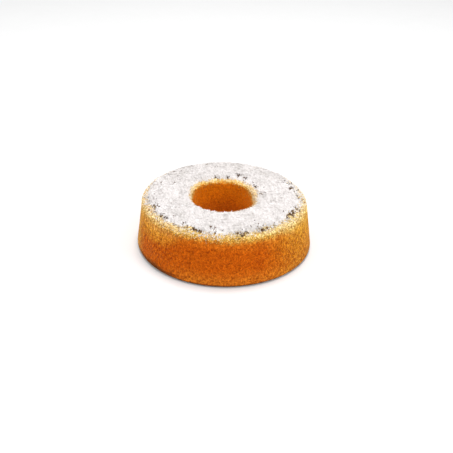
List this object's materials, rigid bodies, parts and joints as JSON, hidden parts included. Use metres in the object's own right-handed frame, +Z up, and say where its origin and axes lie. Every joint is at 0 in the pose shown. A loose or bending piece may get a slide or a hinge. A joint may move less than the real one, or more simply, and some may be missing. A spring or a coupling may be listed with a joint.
{
  "type": "coconut cake",
  "caption": "Round ring-shaped sponge cake with a central hole, tapered golden sides and a top covered with white grated coconut.",
  "frame": {"origin": "centre of the flat base, on the surface the cake stands on", "axes": "+Z up along the hole, -Y towards the viewer of the picture, and the top slopes down slightly towards +X"},
  "size_m": [0.2393, 0.2378, 0.0746],
  "materials": {
    "baked_crust": "matte golden-brown sponge crust",
    "grated_coconut": "matte white grated coconut"
  },
  "bodies": {
    "root": {"ring_cake": "baked_crust"}
  },
  "joints": []
}
